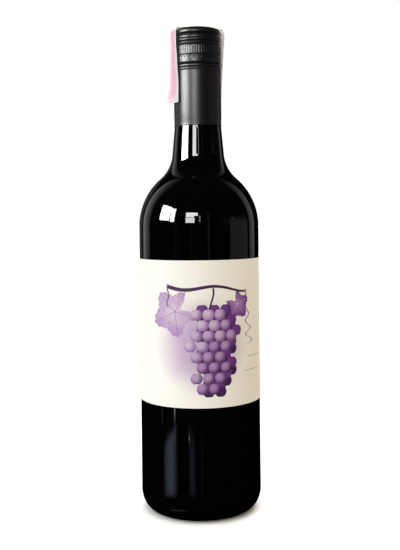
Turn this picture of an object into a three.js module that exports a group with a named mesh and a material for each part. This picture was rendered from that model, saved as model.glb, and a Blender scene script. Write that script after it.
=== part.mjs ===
// A shut 750 ml red wine bottle of near-black glass, with high round shoulders and a long-skirted
// aluminium screw cap. A cream paper label wraps the body, and a pink paper seal strip runs up one
// side of the cap, over its top and down the other side.
// Millimetres, +Z up. The origin is the centre of the base, and the middle of the label faces -Y.
import * as THREE from "three";

// Driving dimensions of the glass. The heel, the shoulder and the neck's root are all arcs.
const BODY_RADIUS = 37.3;
const BASE_RING_INNER = 25.4; // the flat ring that the bottle stands on
const BASE_RING_OUTER = 28.6;
const HEEL_HEIGHT = 12.4;
const PUNT_DEPTH = 15; // the hollow under the base
const SHOULDER_START = 175.4; // height where the straight body ends
const SHOULDER_RADIUS = 39.1;
const SHOULDER_TURN = THREE.MathUtils.degToRad(49.1); // how far the shoulder leans in before it turns back
const NECK_ROOT_RADIUS = 22.6;
const NECK_TAPER = THREE.MathUtils.degToRad(5.17);

// The screw cap: 30 mm across and about 60 mm long, the common size for wine.
const CAP_TOP = 297.7;
const CAP_BOTTOM = 237.4;
const CAP_RADIUS = 15;
const SKIRT_RADIUS = 14.76;
const CAP_EDGE_RADIUS = 1.5; // rounding of the top edge
const CAP_WALL = 0.6;
const CAP_CLEARANCE = 0.1; // between the cap and the glass inside it
const SKIRT_TOP = 270.9; // where the grooved head ends and the plain skirt begins

// Rolled grooves round the cap's head: height of the middle, full width and depth.
const CAP_GROOVES = [
  { height: 293.4, width: 1.5, depth: 0.45 },
  { height: 290.9, width: 1.1, depth: 0.35 },
  { height: 288.8, width: 1.1, depth: 0.35 },
  { height: 275.3, width: 1.9, depth: 0.45 },
  { height: 273.0, width: 1.0, depth: 0.35 },
];

// The gripping band of upright ribs.
const KNURL_TOP = 286.3;
const KNURL_BOTTOM = 281.0;
const KNURL_RIBS = 60;
const KNURL_DEPTH = 0.4;
const KNURL_EDGE = 0.35; // height of the slope at each end of the ribs

// The wrap-round label, with its two ends a little apart at the back.
const LABEL_BOTTOM = 68.9;
const LABEL_TOP = 155.7;
const LABEL_THICKNESS = 0.2;
const LABEL_STAND_OFF = 0.05;

// The seal strip is a stiff band. It follows the cap's curve only at its glued end, on the right, and
// elsewhere its edges stand clear of the cap.
const STRIP_WIDTH = 14;
const STRIP_THICKNESS = 0.3;
const STRIP_TURN = THREE.MathUtils.degToRad(73); // from the front towards the left side
const STRIP_CLEARANCE = 0.1;
const STRIP_NEAR_REACH = CAP_RADIUS + 0.45; // middle of the paper from the axis, on the left leg
const STRIP_FAR_REACH = CAP_RADIUS + 1.6; // on the right the paper bulges out past the top edge
const STRIP_GLUED_REACH = SKIRT_RADIUS + STRIP_CLEARANCE + STRIP_THICKNESS / 2;
const STRIP_NEAR_CORNER = 1.9;
const STRIP_FAR_CORNER = 3.2;
const STRIP_NEAR_END = 251.8; // heights of the two free ends
const STRIP_FAR_END = 256;
const STRIP_BEND_TOP = 291; // below this height the right leg bends more and more round the cap
const STRIP_TAIL_LENGTH = 16; // stretch of the left leg that twists away from the skirt
const STRIP_TAIL_TWIST = THREE.MathUtils.degToRad(18);
const STRIP_CREST = CAP_TOP + STRIP_CLEARANCE + STRIP_THICKNESS / 2; // middle of the paper over the top
const STRIP_ROWS = [10, 5, 3, 5, 25]; // rows of faces along the left leg, bend, top, bend and right leg
const STRIP_COLUMNS = 6;

const GLASS_SIDES = 64;
const CAP_SIDES = 2 * KNURL_RIBS;
const LABEL_GAP_SIDES = 4; // how many of the body's sides show bare glass at the back

// Turns a profile of (radius, height) points about the Z axis. The first side starts at the front.
function turned(profile, sides) {
  return new THREE.LatheGeometry(profile, sides).rotateX(Math.PI / 2);
}

// The glass's outline, from the middle of the punt round the heel and up to the mouth.
function glassProfile() {
  const shoulderCentre = BODY_RADIUS - SHOULDER_RADIUS;
  const turn = { cos: Math.cos(SHOULDER_TURN), sin: Math.sin(SHOULDER_TURN) };
  // The neck's root curves about a point outside the glass, in line with the shoulder's end.
  const rootX = shoulderCentre + (SHOULDER_RADIUS + NECK_ROOT_RADIUS) * turn.cos;
  const rootZ = SHOULDER_START + (SHOULDER_RADIUS + NECK_ROOT_RADIUS) * turn.sin;
  const neckStartX = rootX - NECK_ROOT_RADIUS * Math.cos(NECK_TAPER);
  const neckStartZ = rootZ - NECK_ROOT_RADIUS * Math.sin(NECK_TAPER);
  const neckEndZ = CAP_BOTTOM - CAP_CLEARANCE;
  const neckEndX = neckStartX - (neckEndZ - neckStartZ) * Math.tan(NECK_TAPER);
  const finishRadius = SKIRT_RADIUS - CAP_WALL - CAP_CLEARANCE;
  const mouthZ = CAP_TOP - CAP_WALL - CAP_CLEARANCE;
  const quarter = Math.PI / 2;

  const outline = new THREE.Path();
  outline.moveTo(0, PUNT_DEPTH);
  outline.absellipse(0, 0, BASE_RING_INNER, PUNT_DEPTH, quarter, 0, true);
  outline.lineTo(BASE_RING_OUTER, 0);
  outline.absellipse(BASE_RING_OUTER, HEEL_HEIGHT, BODY_RADIUS - BASE_RING_OUTER, HEEL_HEIGHT, -quarter, 0, false);
  outline.lineTo(BODY_RADIUS, SHOULDER_START);
  outline.absarc(shoulderCentre, SHOULDER_START, SHOULDER_RADIUS, 0, SHOULDER_TURN, false);
  outline.absarc(rootX, rootZ, NECK_ROOT_RADIUS, Math.PI + SHOULDER_TURN, Math.PI + NECK_TAPER, true);
  outline.lineTo(neckEndX, neckEndZ);
  outline.lineTo(finishRadius, neckEndZ);
  outline.lineTo(finishRadius, mouthZ);
  outline.lineTo(0, mouthZ);
  return outline.getPoints(4);
}

// The cap's outline, listed down the outside from the middle of its top and back up the inside. It is
// returned the other way round, because a lathe's faces point outwards where its outline climbs.
function capProfile() {
  const outline = [new THREE.Vector2(0, CAP_TOP)];
  const edge = new THREE.Path();
  edge.absarc(CAP_RADIUS - CAP_EDGE_RADIUS, CAP_TOP - CAP_EDGE_RADIUS, CAP_EDGE_RADIUS, Math.PI / 2, 0, true);
  outline.push(...edge.getPoints(2));
  const above = CAP_GROOVES.filter((groove) => groove.height > KNURL_TOP);
  const below = CAP_GROOVES.filter((groove) => groove.height < KNURL_BOTTOM);
  for (const { height, width, depth } of above) outline.push(...groovePoints(height, width, depth));
  for (const height of [KNURL_TOP, KNURL_TOP - KNURL_EDGE, KNURL_BOTTOM + KNURL_EDGE, KNURL_BOTTOM])
    outline.push(new THREE.Vector2(CAP_RADIUS, height));
  for (const { height, width, depth } of below) outline.push(...groovePoints(height, width, depth));
  const bore = SKIRT_RADIUS - CAP_WALL;
  outline.push(
    new THREE.Vector2(CAP_RADIUS, SKIRT_TOP + 0.4),
    new THREE.Vector2(SKIRT_RADIUS, SKIRT_TOP - 0.4),
    new THREE.Vector2(SKIRT_RADIUS, CAP_BOTTOM),
    new THREE.Vector2(bore, CAP_BOTTOM),
    new THREE.Vector2(bore, CAP_TOP - CAP_WALL),
    new THREE.Vector2(0, CAP_TOP - CAP_WALL),
  );
  return outline.reverse();
}

// One groove as three points: upper lip, bottom and lower lip.
function groovePoints(height, width, depth) {
  return [
    new THREE.Vector2(CAP_RADIUS, height + width / 2),
    new THREE.Vector2(CAP_RADIUS - depth, height),
    new THREE.Vector2(CAP_RADIUS, height - width / 2),
  ];
}

// Presses every second corner of the gripping band inwards, so that the band is ribbed.
function pressRibs(geometry) {
  const position = geometry.getAttribute("position");
  const rowsPerSide = position.count / (CAP_SIDES + 1);
  const scale = (CAP_RADIUS - KNURL_DEPTH) / CAP_RADIUS;
  for (let i = 0; i < position.count; i++) {
    const side = Math.floor(i / rowsPerSide);
    const height = position.getZ(i);
    const inBand = height < KNURL_TOP - KNURL_EDGE / 2 && height > KNURL_BOTTOM + KNURL_EDGE / 2;
    if (inBand && side % 2 === 1)
      position.setXY(i, position.getX(i) * scale, position.getY(i) * scale);
  }
  return geometry;
}

// The label is a thin ring sector whose corners lie over the corners of the glass.
function labelGeometry() {
  const inner = BODY_RADIUS + LABEL_STAND_OFF;
  const outer = inner + LABEL_THICKNESS;
  const halfGap = (Math.PI * LABEL_GAP_SIDES) / GLASS_SIDES;
  const start = Math.PI / 2 + halfGap; // the back is at +Y
  const end = Math.PI / 2 - halfGap + 2 * Math.PI;
  const shape = new THREE.Shape();
  shape.absarc(0, 0, outer, start, end, false);
  shape.absarc(0, 0, inner, end, start, true);
  const curveSegments = (GLASS_SIDES - LABEL_GAP_SIDES) / 2; // three.js doubles this on an arc
  const depth = LABEL_TOP - LABEL_BOTTOM;
  return new THREE.ExtrudeGeometry(shape, { depth, curveSegments, bevelEnabled: false })
    .translate(0, 0, LABEL_BOTTOM);
}

// The middle line of the strip, seen square on: x runs from left to right across the cap.
function stripPath() {
  const crest = STRIP_CREST;
  const near = STRIP_NEAR_REACH;
  const far = STRIP_FAR_REACH;
  const path = new THREE.Path();
  path.moveTo(-near, STRIP_NEAR_END);
  path.lineTo(-near, crest - STRIP_NEAR_CORNER);
  path.absarc(STRIP_NEAR_CORNER - near, crest - STRIP_NEAR_CORNER, STRIP_NEAR_CORNER, Math.PI, Math.PI / 2, true);
  path.lineTo(far - STRIP_FAR_CORNER, crest);
  path.absarc(far - STRIP_FAR_CORNER, crest - STRIP_FAR_CORNER, STRIP_FAR_CORNER, Math.PI / 2, 0, true);
  path.quadraticCurveTo(far, (crest + STRIP_FAR_END) / 2, STRIP_GLUED_REACH, STRIP_FAR_END);
  return path;
}

// Where each row of corners lies along the path, as a share of its length. The bends get close rows.
function stripShares(length) {
  const stretches = [
    STRIP_CREST - STRIP_NEAR_CORNER - STRIP_NEAR_END,
    (STRIP_NEAR_CORNER * Math.PI) / 2,
    STRIP_NEAR_REACH - STRIP_NEAR_CORNER + STRIP_FAR_REACH - STRIP_FAR_CORNER,
    (STRIP_FAR_CORNER * Math.PI) / 2,
  ];
  stretches.push(length - stretches.reduce((sum, stretch) => sum + stretch));
  const shares = [0];
  stretches.forEach((stretch, i) => {
    const start = shares.at(-1);
    for (let row = 1; row <= STRIP_ROWS[i]; row++)
      shares.push(start + ((stretch / length) * row) / STRIP_ROWS[i]);
  });
  return shares.map((share) => Math.min(share, 1));
}

// A block whose corners are laid along the strip's path: x is across the paper, y along it, z through it.
function stripGeometry() {
  const path = stripPath();
  const length = path.getLength();
  const along = new THREE.Vector3(Math.sin(STRIP_TURN), Math.cos(STRIP_TURN), 0);
  const across = new THREE.Vector3(Math.cos(STRIP_TURN), -Math.sin(STRIP_TURN), 0);
  const up = new THREE.Vector3(0, 0, 1);
  const shares = stripShares(length);
  const geometry = new THREE.BoxGeometry(1, 1, 1, STRIP_COLUMNS, shares.length - 1, 1);
  const position = geometry.getAttribute("position");
  const corner = new THREE.Vector3();
  for (let i = 0; i < position.count; i++) {
    corner.fromBufferAttribute(position, i);
    const share = shares[Math.round((corner.y + 0.5) * (shares.length - 1))];
    const middle = path.getPointAt(share);
    const heading = path.getTangentAt(share);
    // The tail turns about the strip's front edge, so that its back edge swings out.
    const tail = Math.max(0, 1 - (share * length) / STRIP_TAIL_LENGTH);
    const twist = STRIP_TAIL_TWIST * tail * tail * (3 - 2 * tail);
    const sideways = across.clone().applyAxisAngle(up, twist);
    const outward = along.clone().applyAxisAngle(up, twist).multiplyScalar(-heading.y).addScaledVector(up, heading.x);
    // The glued end lies round the skirt: its edges fall back as the chord of an arc does.
    const drop = middle.x > 0 ? Math.max(0, (STRIP_BEND_TOP - middle.y) / (STRIP_BEND_TOP - STRIP_FAR_END)) : 0;
    const bend = Math.sin((drop * Math.PI) / 2);
    const turn = (corner.x * STRIP_WIDTH) / STRIP_GLUED_REACH;
    const fallBack = bend * STRIP_GLUED_REACH * (1 - Math.cos(turn));
    const pullIn = bend * STRIP_GLUED_REACH * (turn - Math.sin(turn));
    const point = along.clone().multiplyScalar(middle.x).addScaledVector(up, middle.y);
    point.addScaledVector(across, STRIP_WIDTH / 2);
    point.addScaledVector(sideways, (corner.x - 0.5) * STRIP_WIDTH - pullIn);
    point.addScaledVector(outward, corner.z * STRIP_THICKNESS - fallBack);
    position.setXYZ(i, point.x, point.y, point.z);
  }
  return geometry;
}

function piece(name, geometry, color, roughness, metalness) {
  const mesh = new THREE.Mesh(geometry, new THREE.MeshStandardMaterial({ color, roughness, metalness }));
  mesh.name = name;
  return mesh;
}

const bottle = new THREE.Group();
bottle.add(
  piece("glass_bottle", turned(glassProfile(), GLASS_SIDES), 0x060607, 0.05, 0),
  piece("screw_cap", pressRibs(turned(capProfile(), CAP_SIDES)), 0x1a1a1c, 0.25, 0.8),
  piece("label", labelGeometry(), 0xf4efe1, 0.8, 0),
  piece("seal_strip", stripGeometry(), 0xf5c4d0, 0.85, 0),
);

export default bottle;
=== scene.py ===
# %% [markdown]
# # A dark wine bottle, in looks only
#
# The bottle is shut: black glass, a long black screw cap, a cream paper label wrapped round the body and
# a pink paper seal strip over the cap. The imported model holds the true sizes. This lesson gives each
# piece a finer surface and the finish of the real thing.
#
# Sizes are in millimetres and become metres when a mesh is made. The bottle stands on its base's centre
# at the origin, +Z is up, and the middle of the label faces -Y, towards the camera.

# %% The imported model
import math

import bpy
import numpy as np
from mathutils import Matrix, Vector


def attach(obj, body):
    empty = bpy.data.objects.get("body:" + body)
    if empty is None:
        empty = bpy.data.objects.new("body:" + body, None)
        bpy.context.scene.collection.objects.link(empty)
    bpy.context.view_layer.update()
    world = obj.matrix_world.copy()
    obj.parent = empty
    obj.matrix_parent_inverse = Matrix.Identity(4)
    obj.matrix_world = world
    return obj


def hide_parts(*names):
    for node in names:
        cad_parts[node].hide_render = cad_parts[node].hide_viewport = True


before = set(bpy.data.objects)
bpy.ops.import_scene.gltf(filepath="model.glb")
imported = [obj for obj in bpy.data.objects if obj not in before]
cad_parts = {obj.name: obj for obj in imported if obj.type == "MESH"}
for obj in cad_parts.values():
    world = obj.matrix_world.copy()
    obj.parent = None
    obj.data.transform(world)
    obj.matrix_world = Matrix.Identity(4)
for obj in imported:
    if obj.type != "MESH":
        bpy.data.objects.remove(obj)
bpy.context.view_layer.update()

# %% [markdown]
# ## The camera
#
# A lens that stands level with the shoulder bends the label's top edge one way and its bottom edge the
# other. Fitting those two curves and the outline gave the camera's height, distance and focal length.
# The photograph was cut from a larger one, so its optical centre lies above the middle. A lens shift
# says the same thing, and it is kept as small as that centre needs.

# %% The camera
PICTURE_WIDTH, PICTURE_HEIGHT = 400, 550
FOCAL_PIXELS = 858.8
OPTICAL_CENTRE_ROW = 225.7
EYE = (0.69, -539.1, 182.43)
LOOKS_DOWN = math.radians(0.73)
LEANS = math.radians(-0.578)  # the bottle leans a little to the left in the picture
SENSOR = 36.0

camera = bpy.data.objects.new("camera", bpy.data.cameras.new("camera"))
camera.data.sensor_width = SENSOR
camera.data.lens = FOCAL_PIXELS / PICTURE_HEIGHT * SENSOR
camera.data.shift_y = (OPTICAL_CENTRE_ROW - PICTURE_HEIGHT / 2) / PICTURE_HEIGHT
camera.data.clip_start = 0.01
camera.data.clip_end = 100.0
camera.matrix_world = (
    Matrix.Translation(Vector(EYE) / 1000)
    @ Matrix.Rotation(math.pi / 2 - LOOKS_DOWN, 4, "X")
    @ Matrix.Rotation(LEANS, 4, "Z")
)
bpy.context.scene.collection.objects.link(camera)
bpy.context.scene.camera = camera

# %% [markdown]
# ## Arithmetic on sockets
#
# A pattern such as a print or a scuff is a formula over the surface. Wiring Math nodes by hand hides the
# formula, so one small class wraps a socket and lets Python's own operators add the nodes. Its method
# `node` adds any other kind: settings first, because they decide which sockets there are, and then the
# sockets' values or links.

# %% Sockets that take part in arithmetic
class Wire:
    """An output socket in a node tree. Each operator adds one Math node and returns its output."""

    def __init__(self, tree, socket=None):
        self.tree = tree
        self.socket = socket

    def node(self, kind, settings, sockets, output=0):
        """Adds a node of a kind, with its settings and its sockets' values or links."""
        made = self.tree.nodes.new(kind)
        for name, value in settings.items():
            setattr(made, name, value)
        for name, value in sockets.items():
            if isinstance(value, Wire):
                self.tree.links.new(value.socket, made.inputs[name])
            else:
                made.inputs[name].default_value = value
        return Wire(self.tree, made.outputs[output] if made.outputs else None)

    def math(self, operation, *values):
        return self.node("ShaderNodeMath", {"operation": operation}, dict(enumerate(values)))

    def __add__(self, other):
        return self.math("ADD", self, other)

    def __sub__(self, other):
        return self.math("SUBTRACT", self, other)

    def __rsub__(self, other):
        return self.math("SUBTRACT", other, self)

    def __mul__(self, other):
        return self.math("MULTIPLY", self, other)

    def __truediv__(self, other):
        return self.math("DIVIDE", self, other)

    def __pow__(self, other):
        return self.math("POWER", self, other)

    def __mod__(self, other):
        return self.math("FLOORED_MODULO", self, other)

    def __lt__(self, other):
        return self.math("LESS_THAN", self, other)

    def __gt__(self, other):
        return self.math("GREATER_THAN", self, other)

    def __neg__(self):
        return self.math("MULTIPLY", self, -1.0)

    def __abs__(self):
        return self.math("ABSOLUTE", self)

    __radd__ = __add__
    __rmul__ = __mul__

    def sine(self):
        return self.math("SINE", self)

    def cosine(self):
        return self.math("COSINE", self)

    def floor(self):
        return self.math("FLOOR", self)

    def least(self, other):
        return self.math("MINIMUM", self, other)

    def most(self, other):
        return self.math("MAXIMUM", self, other)

    def step(self, start, end):
        """A smooth step: 0 before start, 1 after end. With start above end it runs the other way."""
        settings = {"interpolation_type": "SMOOTHSTEP"}
        low, high = (0.0, 1.0) if start < end else (1.0, 0.0)
        sockets = {"Value": self, "From Min": min(start, end), "From Max": max(start, end)}
        return self.node("ShaderNodeMapRange", settings, {**sockets, "To Min": low, "To Max": high})


def length_of(x, y):
    """The distance from the origin to (x, y)."""
    return (x * x + y * y) ** 0.5


def blend_colours(share, first, second):
    """The first colour where share is 0 and the second where it is 1. A colour is a triple or a Wire."""
    colours = [c if isinstance(c, Wire) else (*c, 1.0) for c in (first, second)]
    sockets = {0: share, 6: colours[0], 7: colours[1]}
    return share.node("ShaderNodeMix", {"data_type": "RGBA"}, sockets, output=2)


# %% Starting a material
def new_finish(name):
    """A material with an empty node tree, and a Wire on which its first nodes are added."""
    material = bpy.data.materials.new(name)
    material.use_nodes = True
    material.node_tree.nodes.clear()
    return material, Wire(material.node_tree)


def finish_surface(start, constants, changing, height=None):
    """Ends a material: constants and changing inputs go to the shader, and height in mm bends its normal."""
    sockets = {**constants, **changing}
    if height is not None:
        bump = {"Strength": 1.0, "Distance": 0.001, "Height": height}
        sockets["Normal"] = start.node("ShaderNodeBump", {}, bump)
    shader = start.node("ShaderNodeBsdfPrincipled", {}, sockets)
    start.node("ShaderNodeOutputMaterial", {}, {"Surface": shader})


def place_in_mm(start):
    """The object's own coordinates in millimetres: the whole vector, and x, y and z."""
    coordinates = start.node("ShaderNodeTexCoord", {}, {}, output="Object")
    scaled = start.node("ShaderNodeVectorMath", {"operation": "SCALE"}, {0: coordinates, "Scale": 1000.0})
    return [scaled] + [start.node("ShaderNodeSeparateXYZ", {}, {0: scaled}, output=k) for k in range(3)]


def grain(place, size, detail=2.0, stretch=None):
    """Noise from 0 to 1 whose blotches are about size mm across. stretch squeezes it along each axis."""
    if stretch is not None:
        place = place.node("ShaderNodeVectorMath", {"operation": "MULTIPLY"}, {0: place, 1: stretch})
    return place.node("ShaderNodeTexNoise", {}, {"Vector": place, "Scale": 1.0 / size, "Detail": detail})


# %% [markdown]
# ## The floor and the light
#
# A black glossy bottle shows almost nothing of itself: what the eye sees is the room in it. In the
# photograph two tall windows stand to the left, the wall beside them is dark, and a dull card stands
# behind each side and draws the soft grey line along the outline. The windows are panels of light. Each
# is given by the part of the room that it fills as the bottle sees it: a range of bearings, from the
# camera's side round towards +X, and a range of heights above the horizon. The lamps for the paper are
# panels and a sun overhead, which reflections leave out.
#
# Everything dimmer that shows in the glass is painted into the sky. Three kinds of ray see three skies:
# the camera a white one, reflections the dim cards and streaks, and the paper an even room light. The
# floor stays out of the reflections, so that the glass looks as it does on a black table.

# %% The studio
SHOULDER_MIDDLE = Vector((0.0, 0.0, 0.190))
CAP_MIDDLE = Vector((0.0, 0.0, 0.27))
WINDOW_TINT = (0.97, 0.97, 1.0)
CARD_TINT = (0.97, 0.93, 1.0)
TABLE_TINT = (0.56, 0.70, 1.0)


def light_panel(name, bearings, heights, radiance, colour, away, aim=SHOULDER_MIDDLE, for_paper=False):
    """A flat light filling a range of bearings and heights, in degrees, as seen from a point aim.

    Its radiance is what a mirror would show. Only reflections see it, or only the paper does.
    """
    bearing = math.radians(sum(bearings) / 2)
    height = math.radians(sum(heights) / 2)
    width = 2 * away * math.tan(math.radians(bearings[1] - bearings[0]) / 2) * math.cos(height)
    tall = 2 * away * math.tan(math.radians(heights[1] - heights[0]) / 2)
    level = math.cos(height)
    towards = Vector((math.sin(bearing) * level, -math.cos(bearing) * level, math.sin(height)))
    lamp = bpy.data.lights.new(name, "AREA")
    lamp.shape = "RECTANGLE"
    lamp.size = width
    lamp.size_y = tall
    lamp.energy = radiance * math.pi * width * tall
    lamp.color = colour
    panel = bpy.data.objects.new(name, lamp)
    panel.location = aim + towards * away
    panel.rotation_euler = towards.to_track_quat("Z", "Y").to_euler()
    panel.visible_camera = False
    panel.visible_glossy = not for_paper
    panel.visible_diffuse = for_paper
    bpy.context.scene.collection.objects.link(panel)


# %% The windows
WINDOW_AWAY = 1.2
WINDOW_PANES = [  # name, bearings, heights and radiance
    ("window_left_pane", (-80.5, -58.1), (8.5, 30), 36.0),
    ("window_right_pane", (-56.4, -47.5), (7, 28), 34.0),
    ("second_window_top", (-25, -2), (18.2, 23.5), 19.0),
    ("second_window_middle", (-25, -9), (15, 18.1), 17.0),
    ("second_window_low", (-25, -8), (5.5, 14.2), 15.0),
    ("window_gap", (0.5, 3), (7, 18), 3.5),
]
for pane in WINDOW_PANES:
    light_panel(*pane, WINDOW_TINT, WINDOW_AWAY)

# %% Light for the paper
LAMP_AWAY = 3.0
CARD_AWAY = 0.10
DAY_COLOUR = (1.0, 0.985, 0.93)
LAMP_COLOUR = (1.0, 0.78, 0.46)
BACK_COLOUR = (1.0, 0.97, 0.98)
CARD_COLOUR = (1.0, 0.9, 0.98)
OVERHEAD_COLOUR = (0.90, 0.97, 1.0)
OVERHEAD_STRENGTH = 1.9
OVERHEAD_SPREAD = math.radians(50)
light_panel("daylight", (-95, -5), (5, 60), 1.365, DAY_COLOUR, LAMP_AWAY, for_paper=True)
light_panel("warm_lamp", (55, 110), (0, 40), 0.56, LAMP_COLOUR, LAMP_AWAY, for_paper=True)
light_panel("lamp_behind", (137, 178), (5, 50), 5.0, BACK_COLOUR, LAMP_AWAY, for_paper=True)
# A small pale card close to the cap lights the strip's right leg and hardly reaches the label.
light_panel("cap_card", (65, 120), (-15, 35), 2.0, CARD_COLOUR, CARD_AWAY, CAP_MIDDLE, for_paper=True)
noon = bpy.data.objects.new("overhead", bpy.data.lights.new("overhead", "SUN"))
noon.data.energy = OVERHEAD_STRENGTH
noon.data.angle = OVERHEAD_SPREAD
noon.data.color = OVERHEAD_COLOUR
noon.visible_glossy = False
bpy.context.scene.collection.objects.link(noon)

# %% The sky
sky = bpy.data.worlds.new("studio")
sky.use_nodes = True
sky.node_tree.nodes.clear()
bpy.context.scene.world = sky
air = Wire(sky.node_tree)
towards = air.node("ShaderNodeTexCoord", {}, {}, output="Generated")
right, back, high = [air.node("ShaderNodeSeparateXYZ", {}, {0: towards}, output=k) for k in range(3)]
ROOM_LEFT = (0.80, 0.81, 0.81)
ROOM_RIGHT = (0.52, 0.44, 0.32)
room_colour = blend_colours(right.step(-0.8, 0.9), ROOM_LEFT, ROOM_RIGHT)
DEGREE = math.radians(1)
bearing = air.math("ARCTAN2", right, -back) / DEGREE
height = air.math("ARCSINE", high) / DEGREE


def in_reflections(bearings, heights, radiance, soft=1.5, ends=(3.0, 3.0), fade=0.0, slant=0.0):
    """A pale patch that only reflections show. Its sides and ends are soft by so many degrees.

    fade is the share of its light lost from its first bearing to its last, and slant how many degrees
    its top rises for each degree of bearing.
    """
    first, last = bearings
    low, top = min(bearings), max(bearings)
    top_end = heights[1] + slant * (bearing - low)
    sides = bearing.step(low - soft, low + soft) * bearing.step(top + soft, top - soft)
    foot = height.step(heights[0] - ends[0], heights[0] + ends[0])
    head = (height - top_end).step(ends[1], -ends[1])
    loss = ((bearing - first) / (last - first)).most(0.0).least(1.0) * fade
    return sides * (foot * head) * (1.0 - loss) * radiance


# Each row: bearings, heights, radiance, softness of the sides and of the two ends, fade and slant.
WALL_PATCHES = [
    ((-134, -108), (-4, 44), 1.10, 1.0, (3, 26), 0.85),
    ((132, 113), (-4, 40), 0.50, 1.0, (3, 24), 0.35),
    ((-165, -141), (-4, 24), 0.10),
    ((106, 61), (-6, 7), 0.22, 2.0, (3, 7)),
    ((45, 95), (5, 11), 0.08, 10.0, (4, 5)),
    ((66.5, 72.5), (8.5, 12.5), 0.34, 2.5, (2.5, 2.5)),
    ((16.5, 20.5), (-6, 24), 0.13, 0.8, (3, 6)),
    ((-17, -14), (-6, 12), 0.05, 1.0),
    ((-48, -42), (-6, 12), 0.03, 1.0),
]
# Cards and rails on the table, which the lower body shows, and the table's near edge for the heel.
TABLE_PATCHES = [
    ((-71, -51), (-18.2, -14.9), 1.0, 8.0, (0.7, 0.4), 0.0, 0.045),
    ((-51.7, -49.2), (-15, -11.5), 0.48, 0.9, (0.4, 0.9)),
    ((-79.6, -78.0), (-13.6, -8), 0.5, 0.6, (0.3, 0.5)),
    ((-22, -12), (-18.2, -14.6), 0.24, 3.0, (0.5, 0.9)),
    ((0.7, 2.5), (-18.2, -14.6), 0.14, 0.8, (0.5, 0.6)),
    ((-75, -35), (-49, -43), 0.35, 8.0, (1.5, 1.5)),
]
mirrored = (0, 0, 0)
for rows, tint in ((WALL_PATCHES, CARD_TINT), (TABLE_PATCHES, TABLE_TINT)):
    first, *others = [in_reflections(*row) for row in rows]
    mirrored = blend_colours(sum(others, first), mirrored, tint)
# The top of a rail and a small glint are brighter than a tint can be, so they are added on top.
rail_top = in_reflections((-51.6, -49.4), (-13.1, -8), 3.4, 0.8, (0.3, 0.5))
glint = in_reflections((-22.9, -21.1), (-14.77, -14.48), 2.8, 0.8, (0.13, 0.13))
mirrored = air.node("ShaderNodeVectorMath", {"operation": "ADD"}, {0: mirrored, 1: rail_top + glint})
is_camera = air.node("ShaderNodeLightPath", {}, {}, output="Is Camera Ray")
is_glossy = air.node("ShaderNodeLightPath", {}, {}, output="Is Glossy Ray")
seen_colour = blend_colours(is_glossy, blend_colours(is_camera, room_colour, (1, 1, 1)), mirrored)
background = air.node("ShaderNodeBackground", {}, {"Color": seen_colour, "Strength": 1.0})
air.node("ShaderNodeOutputWorld", {}, {"Surface": background})
bpy.context.scene.view_settings.view_transform = "Standard"

# %% [markdown]
# ## Surfaces as arrays
#
# Every piece here is a grid of points that a formula places, so one helper turns a grid into a mesh. A
# grid may close round on itself, as a turned shape does, and each end of a turned shape closes in a
# single point. Neighbouring points make the faces, and the whole list of faces is one array.

# %% Grids of points become meshes
def make_mesh(name, points, faces, material, sharp_over=40.0):
    """A piece from points in mm and faces given by corner numbers, smooth but for edges over an angle."""
    mesh = bpy.data.meshes.new(name)
    mesh.from_pydata((points / 1000).tolist(), [], [f for block in faces for f in block.tolist()])
    mesh.materials.append(material)
    mesh.shade_smooth()
    mesh.set_sharp_from_angle(angle=math.radians(sharp_over))
    mesh.validate()
    piece = bpy.data.objects.new(name, mesh)
    bpy.context.scene.collection.objects.link(piece)
    triangles = sum(len(polygon.vertices) - 2 for polygon in mesh.polygons)
    print(name, "has", triangles, "triangles, box", [round(float(v), 2) for v in np.ptp(points, axis=0)])
    return piece


def grid_faces(rows, columns, round_and_round):
    """Four corner numbers for each cell of a grid whose points are numbered row by row."""
    row = np.arange(rows - 1)[:, None]
    column = np.arange(columns if round_and_round else columns - 1)[None, :]
    beside = (column + 1) % columns
    corners = (row * columns + column, row * columns + beside, (row + 1) * columns + beside)
    return np.stack([*corners, (row + 1) * columns + column], axis=-1).reshape(-1, 4)


def turned_piece(name, radii, heights, angles, material, sharp_over=40.0):
    """A closed turned shape: the outline's rows run from a point on the axis to another one above it.

    radii is a grid, a row for each height and a column for each angle, so that ribs and seams can
    stand out of the round. A point lies at radius * (sin angle, -cos angle), so angle 0 is the front.
    """
    rows, columns = radii.shape
    x = radii * np.sin(angles)
    y = -radii * np.cos(angles)
    z = np.broadcast_to(heights[:, None], radii.shape)
    ring_points = np.stack([x, y, z], axis=-1)[1:-1].reshape(-1, 3)
    ends = np.array([[0.0, 0.0, heights[0]], [0.0, 0.0, heights[-1]]])
    inner_rows = rows - 2
    first_end = inner_rows * columns
    around = np.arange(columns)
    beside = (around + 1) % columns
    last_row = (inner_rows - 1) * columns
    fans = [
        np.stack([np.full(columns, first_end), beside, around], axis=-1),
        np.stack([np.full(columns, first_end + 1), last_row + around, last_row + beside], axis=-1),
    ]
    faces = [grid_faces(inner_rows, columns, True), *fans]
    return make_mesh(name, np.concatenate([ring_points, ends]), faces, material, sharp_over)


# %% The floor
FLOOR_HALF = 20000.0
FLOOR_PALE = (0.91, 0.91, 0.91)
FLOOR_PALER = (0.93, 0.93, 0.93)
floor_finish, start = new_finish("pale_floor")
floor_place = start.node("ShaderNodeTexCoord", {}, {}, output="Object")
floor_tone = start.node("ShaderNodeTexNoise", {}, {"Vector": floor_place, "Scale": 6.0})
floor_colour = blend_colours(floor_tone, FLOOR_PALE, FLOOR_PALER)
finish_surface(start, {"Roughness": 0.9, "Specular IOR Level": 0.0}, {"Base Color": floor_colour})
corners = np.array([[-1, -1, 0], [1, -1, 0], [1, 1, 0], [-1, 1, 0]]) * FLOOR_HALF
floor = make_mesh("floor", corners, [np.array([[0, 1, 2, 3]])], floor_finish)
floor.visible_glossy = False
floor.visible_diffuse = False

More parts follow.
